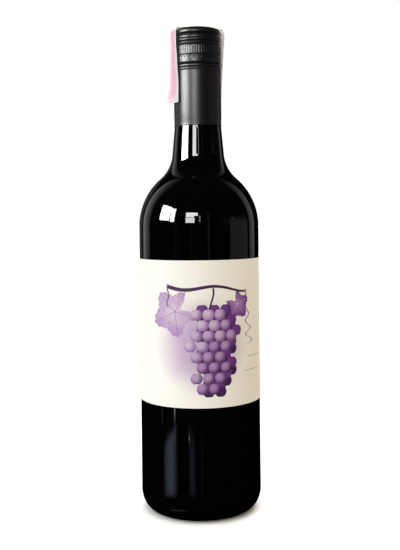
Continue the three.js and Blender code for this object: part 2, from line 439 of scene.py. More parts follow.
# %% [markdown]
# ## The glass
#
# The bottle is blown in a two-part mould: a straight body, a high round shoulder, a root where the curve
# turns back, and a neck that narrows a little all the way up. Underneath is the punt, a dome pushed up
# inside the ring that the bottle stands on. An outline written as arcs keeps each radius by name, and
# rows as fine as these leave the reflections unbroken.

# %% The outline of the glass
BODY_RADIUS = 37.3
BASE_RING_INNER = 25.4
BASE_RING_OUTER = 28.6
RING_ROUNDING = 0.6
HEEL_HEIGHT = 12.4
PUNT_DEPTH = 15.0
NUB_HEIGHT = 0.9
NUB_RADIUS = 2.4
SHOULDER_START = 175.4
SHOULDER_RADIUS = 39.1
SHOULDER_TURN = math.radians(49.1)
NECK_ROOT_RADIUS = 22.6
NECK_TAPER = math.radians(5.17)
CAP_BOTTOM = 237.4
NECK_END = 240.0
FINISH_RADIUS = 14.0
MOUTH_HEIGHT = 296.8


def arc(centre, radii, start, end, steps):
    """Points of an ellipse's arc: centre + (radii x * cos, radii y * sin), from one angle to another."""
    turn = np.linspace(start, end, steps)[:, None]
    return np.array(centre) + np.hstack([radii[0] * np.cos(turn), radii[1] * np.sin(turn)])


def straight(first, last, steps):
    """Points evenly along a line from first to last."""
    share = np.linspace(0.0, 1.0, steps)[:, None]
    return np.array(first) * (1 - share) + np.array(last) * share


def glass_outline():
    """Radius and height of the glass, from the top of the punt round the heel and up to the mouth."""
    quarter = math.pi / 2
    shoulder_centre = (BODY_RADIUS - SHOULDER_RADIUS, SHOULDER_START)
    reach = SHOULDER_RADIUS + NECK_ROOT_RADIUS
    root_centre = (
        shoulder_centre[0] + reach * math.cos(SHOULDER_TURN),
        shoulder_centre[1] + reach * math.sin(SHOULDER_TURN),
    )
    shoulder = arc(shoulder_centre, (SHOULDER_RADIUS,) * 2, 0.0, SHOULDER_TURN, 64)
    root = arc(root_centre, (NECK_ROOT_RADIUS,) * 2, math.pi + SHOULDER_TURN, math.pi + NECK_TAPER, 48)
    neck_top = (root[-1][0] - (NECK_END - root[-1][1]) * math.tan(NECK_TAPER), NECK_END)
    return np.concatenate([
        arc((0, 0), (BASE_RING_INNER, PUNT_DEPTH), quarter, 0.0, 40)[:-1],
        arc((BASE_RING_INNER + RING_ROUNDING, RING_ROUNDING), (RING_ROUNDING,) * 2, math.pi, 3 * quarter, 5),
        arc((BASE_RING_OUTER, HEEL_HEIGHT), (BODY_RADIUS - BASE_RING_OUTER, HEEL_HEIGHT), -quarter, 0.0, 36),
        straight((BODY_RADIUS, HEEL_HEIGHT), (BODY_RADIUS, SHOULDER_START), 34)[1:-1],
        shoulder,
        root[1:],
        straight(root[-1], neck_top, 14)[1:],
        straight((FINISH_RADIUS, NECK_END + 0.5), (FINISH_RADIUS, MOUTH_HEIGHT), 4),
        [[0.0, MOUTH_HEIGHT]],
    ])


# %% Turning the glass
GLASS_COLUMNS = 240
SEAM_HEIGHT = 0.04
SEAM_WIDTH = 0.35


def glass_angles():
    """Even angles, with a few close ones about each mould seam, on the left and right sides."""
    even = np.arange(GLASS_COLUMNS) * (2 * math.pi / GLASS_COLUMNS) - math.pi
    close = np.radians([-1.0, -0.7, -0.45, -0.25, 0.25, 0.45, 0.7, 1.0])
    seams = [sign * math.pi / 2 + close for sign in (-1, 1)]
    return np.sort(np.concatenate([even, *seams]))


def glass_radii(outline, angles):
    """The outline's radius, plus a ridge exp(-(distance / width)^2) along each mould seam."""
    radius = outline[:, :1]
    distance = (np.abs(angles)[None, :] - math.pi / 2) * radius
    on_wall = (outline[:, 1:] > HEEL_HEIGHT / 2) & (radius > FINISH_RADIUS + 0.1)
    return radius + on_wall * SEAM_HEIGHT * np.exp(-((distance / SEAM_WIDTH) ** 2))


outline = glass_outline()
# The push-up pin leaves a small round nub in the middle of the punt.
in_punt = outline[:, 1] < PUNT_DEPTH + 1
heights = outline[:, 1] - NUB_HEIGHT * np.exp(-((outline[:, 0] / NUB_RADIUS) ** 2)) * in_punt
angles = glass_angles()
glass_finish, start = new_finish("black_glass")
bottle_glass = turned_piece("bottle_glass", glass_radii(outline, angles), heights, angles, glass_finish)
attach(bottle_glass, "root")
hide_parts("glass_bottle")

# %% [markdown]
# ### How the glass takes light
#
# The glass is so dark, with red wine behind it, that no light comes through, so a clear shader would
# only cost time. A nearly black base under a mirror-smooth dielectric gives the same look. Blown glass
# is never quite true: a slow wave of a few hundredths of a millimetre bends the reflections. Handling
# leaves a faint haze in patches, and the ring it stands on is stippled with short radial bars.

# %% Black glass
GLASS_BLACK = (0.0006, 0.0006, 0.0008)
HAZY_BLACK = (0.0016, 0.0014, 0.0017)
FOOT_BARS = 72
place, x, y, z = place_in_mm(start)
slow_wave = grain(place, 30.0, detail=0.0, stretch=(1.0, 1.0, 0.55))
haze = grain(place, 9.0, detail=4.0)
specks = grain(place, 0.7, detail=1.0).step(0.74, 0.80)
turn = start.math("ARCTAN2", x, y)
radius = length_of(x, y)
off_inner = radius.step(BASE_RING_INNER + 0.2, BASE_RING_INNER + 0.5)
off_outer = radius.step(BASE_RING_OUTER + 0.7, BASE_RING_OUTER + 0.3)
on_ring = off_inner * off_outer * z.step(1.2, 0.6)
bars = (turn * FOOT_BARS).sine().step(-0.2, 0.5) * on_ring
glass_colour = blend_colours(haze, GLASS_BLACK, HAZY_BLACK)
glass_roughness = 0.028 + 0.03 * haze.step(0.45, 0.75) + 0.12 * specks + 0.10 * on_ring
finish_surface(
    start,
    {"IOR": 1.52},
    {"Base Color": glass_colour, "Roughness": glass_roughness},
    height=slow_wave * 0.05 + bars * 0.10,
)

# %% [markdown]
# ## The screw cap
#
# The cap is one cup of thin aluminium, rolled on to the neck. Its head carries grooves, a band of upright
# ribs for the fingers, and a row of small pockets pressed in under the ribs. Below a deep groove, where it
# tears open at a ring of slits, a long plain skirt covers the neck. All of it is one surface: a radius that
# depends on height and angle. Each groove, rib, pocket and slit takes a little away from the plain wall.

# %% The wall of the cap as a formula
CAP_TOP = 297.7
CAP_RADIUS = 15.0
SKIRT_RADIUS = 14.76
SKIRT_TOP = 270.9
CAP_EDGE_RADIUS = 2.6
CAP_SHEET = 0.24
GROOVES = [  # height, width and depth of each rolled groove
    (293.35, 3.1, 0.85),
    (290.80, 1.5, 0.24),
    (289.00, 2.0, 0.50),
    (287.15, 2.0, 0.34),
    (280.80, 0.9, 0.24),
    (280.00, 1.0, 0.05),
    (275.30, 2.2, 0.58),
    (273.20, 1.4, 0.38),
]
RIB_BAND = (281.2, 286.2)
RIB_COUNT = 60
RIB_DEPTH = 0.14
RIB_END = 0.35  # height of the slope at each end of a rib
SCALLOP_TOP = 279.6
SCALLOP_DROP = 1.5
SCALLOP_COUNT = 30
SCALLOP_DEPTH = 0.20
SLIT_COUNT = 10
SLIT_HEIGHT = 275.3
SLIT_WIDTH = 0.16
SLIT_DEPTH = 0.20
TUCK_TOP = 245.0
TUCK_DEPTH = 0.15
LIP_START = 1.4  # heights above the skirt's end
LIP_HEIGHT = 1.2
LIP_OUT = 0.10
LIP_FLARE = 0.08


def smooth_step(value, start, end):
    """0 before start and 1 after end, by 3 t^2 - 2 t^3 in between."""
    t = np.clip((value - start) / (end - start), 0.0, 1.0)
    return t * t * (3 - 2 * t)


def cap_wall(z, a):
    """Radius of the cap's outside at height z and angle a, in mm.

    Wall: head radius above the skirt's top and skirt radius below. Grooves: depth * (1 - sin) from a
    sharp bottom to round lips. Ribs: |cos| round the cap, round on top with sharp valleys between.
    Scallops: small pockets under the ribs, each sin^2 wide, that step in at the top and slope back out.
    """
    wall = SKIRT_RADIUS + (CAP_RADIUS - SKIRT_RADIUS) * smooth_step(z, SKIRT_TOP, SKIRT_TOP + 1.7)
    for height, width, depth in GROOVES:
        t = np.clip(np.abs(z - height) / (width / 2), 0.0, 1.0)
        wall = wall - depth * (1 - np.sin(t * math.pi / 2))
    valleys = 1 - np.abs(np.cos(a * RIB_COUNT / 2))
    low, high = RIB_BAND
    band = smooth_step(z, low, low + RIB_END) * smooth_step(-z, -high, RIB_END - high)
    wall = wall - RIB_DEPTH * valleys * band
    hang = np.sin(SCALLOP_COUNT / 2 * a) ** 2
    slope = np.clip((SCALLOP_TOP - z) / (SCALLOP_DROP * hang + 0.05), 0.0, 1.0)
    wall = wall - SCALLOP_DEPTH * hang * (1 - slope) * smooth_step(SCALLOP_TOP - z, 0.0, 0.2)
    slits = smooth_step(np.cos(SLIT_COUNT * a), -0.94, -0.88)
    return wall - SLIT_DEPTH * slits * np.exp(-(((z - SLIT_HEIGHT) / SLIT_WIDTH) ** 2))


def skirt_shape(z, a):
    """What the plain skirt adds: a tuck inwards near its end, a rolled lip, and hand-sized unevenness."""
    tuck = -TUCK_DEPTH * smooth_step(-z, -TUCK_TOP, -CAP_BOTTOM - LIP_START)
    above = z - CAP_BOTTOM
    lip = LIP_OUT * smooth_step(-above, -LIP_START, -LIP_HEIGHT)
    lip = lip + LIP_FLARE * np.clip((LIP_HEIGHT - above) / 0.9, 0.0, 1.0)
    lip = lip - LIP_OUT * smooth_step(-above, -0.3, 0.0)
    uneven = 0.010 * np.sin(2 * a + 0.07 * z) + 0.006 * np.sin(5 * a - 0.21 * z)
    return tuck + lip + uneven * smooth_step(-z, -SKIRT_TOP, -SKIRT_TOP + 3)


# %% Rows and turning of the cap
CAP_COLUMNS = 480
# Rows lie close in every groove and slope, and far apart on the plain stretches between them.
groove_rows = [np.linspace(h - w / 2, h + w / 2, 2 * math.ceil(w / 0.30) + 1) for h, w, _ in GROOVES]
marks = np.concatenate([
    *groove_rows,
    np.linspace(CAP_BOTTOM, CAP_BOTTOM + 1.5, 14),
    np.linspace(CAP_BOTTOM + 2.0, SKIRT_TOP - 0.8, 15),
    np.linspace(SKIRT_TOP - 0.2, SKIRT_TOP + 1.7, 9),
    np.linspace(SCALLOP_TOP - SCALLOP_DROP - 0.1, SCALLOP_TOP, 18),
    np.linspace(RIB_BAND[0], RIB_BAND[0] + RIB_END, 5),
    np.linspace(RIB_BAND[1] - RIB_END, RIB_BAND[1], 5),
    # Rows beside the ribs' ends keep their slanted normals out of the straight part.
    [RIB_BAND[0] + 0.45, RIB_BAND[0] + 0.7, RIB_BAND[1] - 0.7, RIB_BAND[1] - 0.45],
    [283.7, 289.8, 291.7, CAP_TOP - CAP_EDGE_RADIUS],
])
outside = np.unique(np.round(marks, 2))[::-1]
cap_angles = np.arange(CAP_COLUMNS) * (2 * math.pi / CAP_COLUMNS) - math.pi
wall = cap_wall(outside[:, None], cap_angles[None, :]) + skirt_shape(outside[:, None], cap_angles[None, :])

TOP_DISC = CAP_RADIUS - CAP_EDGE_RADIUS
edge = arc((TOP_DISC, CAP_TOP - CAP_EDGE_RADIUS), (CAP_EDGE_RADIUS,) * 2, math.pi / 2, 0.0, 10)[:-1]
# The top is a shallow tray: flat inside a ring, with a small step up to the rounded edge.
tray_radii = [0, 5, 9.6, 10.6, 10.9, 11.2, 11.8]
tray_depths = [0.18, 0.18, 0.18, 0.17, 0.1, 0.02, 0]
top = np.stack([tray_radii, CAP_TOP - np.array(tray_depths)], axis=-1)
bore = SKIRT_RADIUS - CAP_SHEET - 0.1
inside = np.array([
    (bore + 0.12, CAP_BOTTOM + 0.02),
    (bore, CAP_BOTTOM + 0.25),
    (bore - 0.3, CAP_BOTTOM + 5.0),
    (bore - 0.36, CAP_TOP - 2.5),
    (bore - 1.6, CAP_TOP - 0.7),
    (0.0, CAP_TOP - 0.7),
])


def even_rows(rows):
    """Rows of the same radius all round."""
    return np.repeat(rows[:, :1], CAP_COLUMNS, axis=1)


cap_radii = np.concatenate([even_rows(top), even_rows(edge), wall, even_rows(inside)])[::-1]
cap_heights = np.concatenate([top[:, 1], edge[:, 1], outside, inside[:, 1]])[::-1]
cap_finish, start = new_finish("black_lacquered_aluminium")
cap = turned_piece("long_screw_cap", cap_radii, cap_heights, cap_angles, cap_finish, sharp_over=48.0)
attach(cap, "root")
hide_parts("screw_cap")

# %% [markdown]
# ### Black lacquer
#
# The sheet is lacquered before it is drawn into a cup, so the metal hardly shows. The lacquer is satin:
# a window in it is a soft-edged bar. It has a fine orange peel, rubbed patches, and thin upright marks
# where the rollers and the packing case slid along it.

# %% Lacquer on the cap
LACQUER = (0.0050, 0.0049, 0.0054)
WORN_LACQUER = (0.015, 0.015, 0.016)
place = place_in_mm(start)[0]
peel = grain(place, 0.55, detail=1.0)
rubbed = grain(place, 6.0, detail=3.0)
slide_marks = grain(place, 0.5, detail=2.0, stretch=(1.0, 1.0, 0.04)).step(0.60, 0.72)
worn = rubbed.step(0.55, 0.75) * slide_marks
lacquer_colour = blend_colours(worn, LACQUER, WORN_LACQUER)
lacquer_roughness = 0.32 + 0.04 * rubbed + 0.03 * slide_marks
finish_surface(
    start,
    {"IOR": 1.50},
    {"Base Color": lacquer_colour, "Roughness": lacquer_roughness},
    height=peel * 0.0014 + slide_marks * -0.001,
)

# %% [markdown]
# ## Paper as a closed sheet
#
# The label and the seal strip are both paper: two faces a little apart and a rim all round. All three
# are made from one grid of points and the directions that face outwards. Each gets its own place in the
# UV square: the printed face below, the back above it and the rim in a thin band on top.

# %% A sheet of paper with three parts to its map
BACK_OFFSET = 0.45
RIM_OFFSET = 0.92
RIM_BREADTH = 0.01


def paper_piece(name, middle, outwards, thickness, flat, material):
    """A closed sheet about a grid of middle points, half its thickness out and half in.

    flat holds each point's place on the unrolled sheet, as a share of its length. The faces are the grid
    cells twice, the second time turned over, and a band that joins the two borders.
    """
    rows, columns = middle.shape[:2]
    count = rows * columns
    points = np.concatenate([
        (middle + outwards * thickness / 2).reshape(-1, 3),
        (middle - outwards * thickness / 2).reshape(-1, 3),
    ])
    cells = grid_faces(rows, columns, False)
    numbers = np.arange(count).reshape(rows, columns)
    border = np.concatenate([numbers[0, :-1], numbers[:-1, -1], numbers[-1, :0:-1], numbers[:0:-1, 0]])
    following = np.roll(border, -1)
    rim = np.stack([following, border, border + count, following + count], axis=-1)
    back = cells[:, ::-1] + count
    piece = make_mesh(name, points, [cells, back, rim], material)

    flat = flat.reshape(-1, 2)
    rim_starts = [[i / len(border), RIM_OFFSET] for i in range(len(border))]
    to_corners = np.array([(1, 0), (0, 0), (0, 1), (1, 1)]) * (1 / len(border), RIM_BREADTH)
    rim_map = np.array(rim_starts)[:, None, :] + to_corners
    corner_map = np.concatenate([flat[cells], flat[back - count] + (0.0, BACK_OFFSET), rim_map])
    layer = piece.data.uv_layers.new(name="unrolled")
    layer.data.foreach_set("uv", corner_map.reshape(-1))
    return piece


def place_on_sheet(start, length):
    """How far along and over the flat sheet a point lies, in mm, and 1 on the printed face, 0 elsewhere."""
    unrolled = start.node("ShaderNodeUVMap", {"uv_map": "unrolled"}, {})
    along, over = [start.node("ShaderNodeSeparateXYZ", {}, {0: unrolled}, output=k) for k in range(2)]
    return along * length, over * length, over < BACK_OFFSET - 0.02


# %% [markdown]
# ## The label
#
# The label is one sheet of uncoated cream paper round the body, with its two ends a little apart at the
# back. It is a piece of a cylinder, and it stands off the glass by less than the paper's thickness. Wet
# glue dries unevenly, so the sheet has waves of about a hundredth of a millimetre.

# %% The label's sheet
LABEL_BOTTOM = 68.9
LABEL_TOP = 155.7
LABEL_THICKNESS = 0.16
LABEL_STAND_OFF = 0.06
LABEL_GAP = math.radians(22.5)

label_reach = BODY_RADIUS + LABEL_STAND_OFF + LABEL_THICKNESS / 2
label_turn = 2 * math.pi - LABEL_GAP
LABEL_LENGTH = label_turn * label_reach
LABEL_HEIGHT = LABEL_TOP - LABEL_BOTTOM


def label_sheet(rows=72, columns=420):
    """Points at label_reach round the axis, with waves of height 0.012 mm, and their outward directions."""
    height = np.linspace(0.0, LABEL_HEIGHT, rows)[:, None]
    angle = np.linspace(-label_turn / 2, label_turn / 2, columns)[None, :]
    waves = 0.012 * np.sin(7 * angle + 0.11 * height) * np.sin(0.13 * height - 3 * angle)
    reach = label_reach + waves
    z = LABEL_BOTTOM + height + 0 * angle
    outwards = np.stack(np.broadcast_arrays(np.sin(angle), -np.cos(angle), 0 * z), axis=-1)
    points = outwards * reach[..., None]
    points[..., 2] = z
    flat = np.stack(np.broadcast_arrays(angle / label_turn + 0.5, height / LABEL_LENGTH), axis=-1)
    return points, outwards, flat


label_finish, start = new_finish("printed_label_paper")
points, outwards, flat = label_sheet()
label = paper_piece("wrap_label", points, outwards, LABEL_THICKNESS, flat, label_finish)
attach(label, "root")
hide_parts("label")
print(f"the label is {LABEL_LENGTH:.1f} x {LABEL_HEIGHT:.1f} mm when flat")

# %% [markdown]
# ### The print
#
# The print is a plain vine motif in purple and lilac: a hanging bunch of grapes, two leaves, tendrils and
# the twig that carries them, with a small leaf and thin bars further round. Each is a formula over the
# unrolled label in millimetres. A leaf is a distance that swells and shrinks with its angle. The bunch is
# one grape repeated on a honeycomb, kept where a cell's middle lies in the bunch, so that no grape is cut.

# %% Where on the label
along_label, up, printed_face = place_on_sheet(start, LABEL_LENGTH)
across = along_label - LABEL_LENGTH / 2
position = start.node("ShaderNodeCombineXYZ", {}, {0: across, 1: up})
wash = grain(position, 7.0, detail=5.0)
INK_EDGE = 0.12


def inked(distance):
    """1 where a distance, in mm, is below 0, with an edge as soft as printed ink's."""
    return distance.step(INK_EDGE, -INK_EDGE)


# %% The bunch of grapes
GRAPE = 7.2  # from one grape's middle to the next
GRAPE_ROW = GRAPE * math.sqrt(3) / 2
BUNCH_X = 5.0
BUNCH_TIP = 8.0
BUNCH_TOP = 61.0


def layer_of_grapes(x, y, reach):
    """Ink, shade and tone of grapes on a honeycomb. Odd rows move half a grape, and the middle of each
    cell must lie under the bunch's outline, half as wide as reach * sqrt(height share)."""
    row = ((y - BUNCH_TIP) / GRAPE_ROW).floor()
    shift = (row % 2.0) * (GRAPE / 2)
    column = ((x - BUNCH_X - shift) / GRAPE).floor()
    middle_x = BUNCH_X + shift + (column + 0.5) * GRAPE
    middle_y = BUNCH_TIP + (row + 0.5) * GRAPE_ROW
    share = ((middle_y - BUNCH_TIP) / (BUNCH_TOP - BUNCH_TIP)).most(0.0)
    rounded_top = (1.0 - share).most(0.0) * 14.0 + 9.0
    half_width = (2.5 + reach * share**0.5).least(rounded_top)
    kept = (abs(middle_x - BUNCH_X - GRAPE / 4) < half_width) * (share > 0.0) * (share < 1.0)
    off_x = x - middle_x
    off_y = y - middle_y
    disc = inked(length_of(off_x, off_y) - 0.49 * GRAPE)
    shade = length_of(off_x + 0.9, off_y - 1.0) / GRAPE
    cell = x.node("ShaderNodeCombineXYZ", {}, {0: column, 1: row})
    own_tone = x.node("ShaderNodeTexWhiteNoise", {"noise_dimensions": "2D"}, {"Vector": cell}, output=0)
    return disc * kept, shade, own_tone


grapes, grape_shade, grape_tone = layer_of_grapes(across, up, 15.5)
# The grapes behind fill the gaps between those in front.
behind, behind_shade, behind_tone = layer_of_grapes(across - GRAPE / 2, up - GRAPE_ROW * 0.45, 13.5)
farther = layer_of_grapes(across - GRAPE / 2, up + GRAPE_ROW * 0.25, 12.5)[0]

# %% Leaves, twig and tendril
def vine_leaf(x, y, middle, size, turned):
    """A leaf of five lobes with a toothed edge. Its radius is size * (0.78 + 0.12 cos 5a + 0.10 cos a),
    less small teeth and a notch at the stalk, and its veins run from the stalk out along the lobes."""
    off_x = x - middle[0]
    off_y = y - middle[1]
    angle = x.math("ARCTAN2", off_y, off_x) - turned
    away = length_of(off_x, off_y)
    teeth = abs((angle * 12.5).sine()) * 0.06
    notch = angle.cosine().step(-0.80, -1.0) * 0.30
    radius = size * (0.78 + 0.12 * (angle * 5.0).cosine() + 0.10 * angle.cosine() - teeth - notch)
    blade = inked(away - radius)
    off_vein = abs((angle * 2.5).sine())
    main_veins = inked(off_vein * away - 0.42 + away / size * 0.3) * inked(away - radius * 0.9)
    branches = abs((away * 5.89 / size - off_vein * 6.0).sine())
    fine_veins = inked(branches * 2.0 - 0.24) * inked(away - radius * 0.82)
    return blade, main_veins, fine_veins, away / size


def twig(x, y):
    """A stroke about 70.5 + 1.4 sin(0.16 x) - 0.045 x, thicker at its cut end, and the bunch's stalk."""
    line = 70.5 + 1.4 * (x * 0.16).sine() - x * 0.045
    thick = 0.75 + 0.012 * (18.0 - x)
    span = x.step(-21.0, -19.5) * x.step(31.5, 29.0)
    stalk_x = BUNCH_X + 2.2 + 1.1 * (y * 0.3).sine()
    stalk = inked(abs(x - stalk_x) - 0.55) * y.step(57.5, 58.5) * y.step(71.0, 70.0)
    return (inked(abs(y - line) - thick) * span).most(stalk)


def tendril(x, y, start, drop, swing):
    """A line that hangs from start and sways as a sine, wider and quicker as it falls by f to drop:
    start + 0.10 f + swing (f / drop) sin(0.42 f + 0.008 f^2)."""
    fallen = start[1] - y
    sway = (fallen * 0.42 + fallen * fallen * 0.008).sine()
    middle = start[0] + 0.10 * fallen + swing * (fallen / drop) * sway
    return inked((abs(x - middle) - 0.42) * 0.6) * fallen.step(-0.3, 0.3) * fallen.step(drop, drop - 0.6)


big_leaf, big_veins, big_fine, big_away = vine_leaf(across, up, (-15.0, 56.5), 16.5, math.radians(205))
small_leaf, small_veins, _, small_away = vine_leaf(across, up, (24.0, 60.5), 10.0, math.radians(-50))
back_leaf, back_veins, _, back_away = vine_leaf(across, up, (-82.0, 60.0), 8.0, math.radians(80))
twig_ink = twig(across, up)
curl = tendril(across, up, (30.5, 69.0), 33.0, 3.4).most(tendril(across, up, (-20.0, 71.0), 12.0, 1.6))

# %% Plain rules
def rule(x, y, ends, height, thick):
    """A straight bar between two places across, centred on a height."""
    span = x.step(ends[0] - 0.1, ends[0] + 0.1) * x.step(ends[1] + 0.1, ends[1] - 0.1)
    return inked(abs(y - height) - thick / 2) * span


def block_of_rules(x, y, ends, low, high, gap):
    """Thin bars a gap apart, as a column of small print looks from afar. Each has its own length."""
    number = ((y - low) / gap).floor()
    within_gap = ((y - low) % gap) - gap / 2
    chance = x.node("ShaderNodeTexWhiteNoise", {"noise_dimensions": "1D"}, {"W": number}, output=0)
    own_end = ends[1] - 9.0 * chance
    inside = x.step(ends[0] - 0.1, ends[0] + 0.1) * inked(x - own_end)
    return inked(abs(within_gap) - 0.32) * inside * (y > low) * (y < high)


front_rules = rule(across, up, (33.0, 46.5), 28.4, 0.45).most(rule(across, up, (29.0, 46.5), 20.2, 0.45))
small_print = block_of_rules(across, up, (62.0, 96.0), 22.0, 58.0, 2.6)
small_print = small_print.most(block_of_rules(across, up, (-99.0, -68.0), 20.0, 43.0, 2.6))
purple_rules = rule(across, up, (62.0, 96.0), 64.0, 0.9).most(rule(across, up, (-99.0, -68.0), 47.5, 0.9))

# %% [markdown]
# ### Ink on paper
#
# The inks are laid one over another in the order of printing, from the pale leaves to the dark twig.
# Ink sinks into uncoated paper, so each field has a slight wash in it and the paper's felt shows through
# as relief. The paper itself is a warm white with a few darker fibres.

# %% Colours of the label
CREAM = (0.880, 0.862, 0.815)
DEEP_PURPLE = (0.050, 0.007, 0.085)
PLUM = (0.150, 0.035, 0.235)
LILAC = (0.36, 0.19, 0.45)
PALE_LILAC = (0.62, 0.50, 0.64)
GREY_INK = (0.30, 0.27, 0.25)
FIBRE = (0.60, 0.53, 0.42)
STAIN_LEFT = (0.42, 0.22, 0.55)
STAIN_RIGHT = (0.27, 0.18, 0.29)

felt = grain(position, 0.55, detail=3.0)
cloudy = grain(position, 14.0, detail=2.0)
fibres = grain(position, 0.35, detail=1.0, stretch=(0.22, 1.0, 1.0)).step(0.70, 0.78)
paper_colour = blend_colours(cloudy, CREAM, tuple(0.975 * c for c in CREAM))
paper_colour = blend_colours(fibres * 0.10, paper_colour, FIBRE)
leaf_tone = (big_away * 0.75 + wash * 0.5).step(0.2, 1.1)
halo = length_of(across - 1.0, up - 37.0) + (cloudy - 0.5) * 9.0
stain = halo.step(33.0, 9.0) * (0.7 + 0.3 * wash)
stain_colour = blend_colours(across.step(-24.0, 26.0), STAIN_LEFT, STAIN_RIGHT)
paper_colour = blend_colours(stain * 0.85, paper_colour, stain_colour)
small_tone = (small_away * 0.8 + wash * 0.4).step(0.1, 1.0)
depth_share = (up * -0.011 + across * 0.016 + 0.72 + grape_tone * 0.35 + (wash - 0.5) * 0.5).step(0.0, 1.0)
grape_light = blend_colours(depth_share, PALE_LILAC, LILAC)
grape_dark = blend_colours(depth_share, LILAC, DEEP_PURPLE)
behind_dark = blend_colours(behind_tone, PLUM, DEEP_PURPLE)
LAYERS = [  # share and colour of each ink, in the order of printing
    (big_leaf * 0.95, blend_colours(leaf_tone, PALE_LILAC, LILAC)),
    (big_fine * 0.40, PLUM),
    (big_veins * 0.75, PLUM),
    (small_leaf, blend_colours(small_tone, LILAC, PLUM)),
    (small_veins * 0.6, PALE_LILAC),
    (back_leaf, blend_colours(back_away.step(0.1, 0.9), LILAC, PLUM)),
    (back_veins * 0.6, PALE_LILAC),
    (farther, DEEP_PURPLE),
    (behind, blend_colours(behind_shade.step(0.15, 0.6), PLUM, behind_dark)),
    (grapes, blend_colours(grape_shade.step(0.12, 0.62), grape_light, grape_dark)),
    (curl, PLUM),
    (twig_ink, DEEP_PURPLE),
    (front_rules.most(small_print) * 0.7, GREY_INK),
    (purple_rules, PLUM),
]
colour = paper_colour
for share, ink in LAYERS:
    colour = blend_colours(share, colour, ink)
label_colour = blend_colours(printed_face, CREAM, colour)

# %% The label's finish
all_ink = grapes.most(behind).most(farther).most(big_leaf).most(small_leaf).most(twig_ink).most(curl)
finish_surface(
    start,
    {"IOR": 1.45, "Specular IOR Level": 0.3},
    {"Base Color": label_colour, "Roughness": 0.86 - 0.16 * all_ink + 0.06 * felt},
    height=felt * 0.030 + cloudy * 0.02 - fibres * 0.008,
)

# %% [markdown]
# ## The seal strip
#
# A narrow strip of stiff, thin paper is laid over the cap to show that it hasn't been opened. Its right
# end is glued down and bends round the skirt with the metal. The left leg hangs flat, so its edges stand
# clear of the round cap, and its torn end swings out. The strip is a cross-section carried along a path:
# up the left side, over the top and down the right.

# %% The path over the cap
STRIP_WIDTH = 14.0
STRIP_THICKNESS = 0.14
STRIP_TURN = math.radians(73)
STRIP_CREST = CAP_TOP + 0.1
STRIP_NEAR_REACH = CAP_RADIUS + 0.45
STRIP_FAR_REACH = CAP_RADIUS + 0.7
STRIP_GLUED_REACH = SKIRT_RADIUS + 0.25
STRIP_NEAR_CORNER = 1.2
STRIP_FAR_CORNER = 3.2
STRIP_NEAR_END = 251.8
STRIP_FAR_END = 256.0
STRIP_BEND_TOP = 291.0
STRIP_TAIL_LENGTH = 13.0
STRIP_TAIL_TWIST = math.radians(13)
STRIP_LEG_TURN = math.radians(8)  # how far the left leg turns towards the front on its way down
STRIP_LEG_SHIFT = 0.8  # how far it moves outwards meanwhile


def strip_path(steps=240):
    """The strip's middle line, evenly spaced: across the cap, up, and the length travelled so far."""
    near, far, quarter = STRIP_NEAR_REACH, STRIP_FAR_REACH, math.pi / 2
    near_centre = (STRIP_NEAR_CORNER - near, STRIP_CREST - STRIP_NEAR_CORNER)
    far_centre = (far - STRIP_FAR_CORNER, STRIP_CREST - STRIP_FAR_CORNER)
    t = np.linspace(0, 1, 80)[:, None]
    starts, bends, ends = np.array([
        (far, far_centre[1]), (far, (STRIP_CREST + STRIP_FAR_END) / 2), (STRIP_GLUED_REACH, STRIP_FAR_END),
    ])
    path = np.concatenate([
        straight((-near, STRIP_NEAR_END), (-near, near_centre[1]), 40)[:-1],
        arc(near_centre, (STRIP_NEAR_CORNER,) * 2, math.pi, quarter, 24)[:-1],
        straight((near_centre[0], STRIP_CREST), (far_centre[0], STRIP_CREST), 20)[:-1],
        arc(far_centre, (STRIP_FAR_CORNER,) * 2, quarter, 0.0, 24)[:-1],
        (1 - t) ** 2 * starts + 2 * t * (1 - t) * bends + t**2 * ends,
    ])
    travelled = np.concatenate([[0], np.cumsum(np.hypot(*np.diff(path, axis=0).T))])
    even = np.linspace(0, travelled[-1], steps)
    across, up = [np.interp(even, travelled, path[:, k]) for k in range(2)]
    return np.stack([across, up, even], axis=-1)


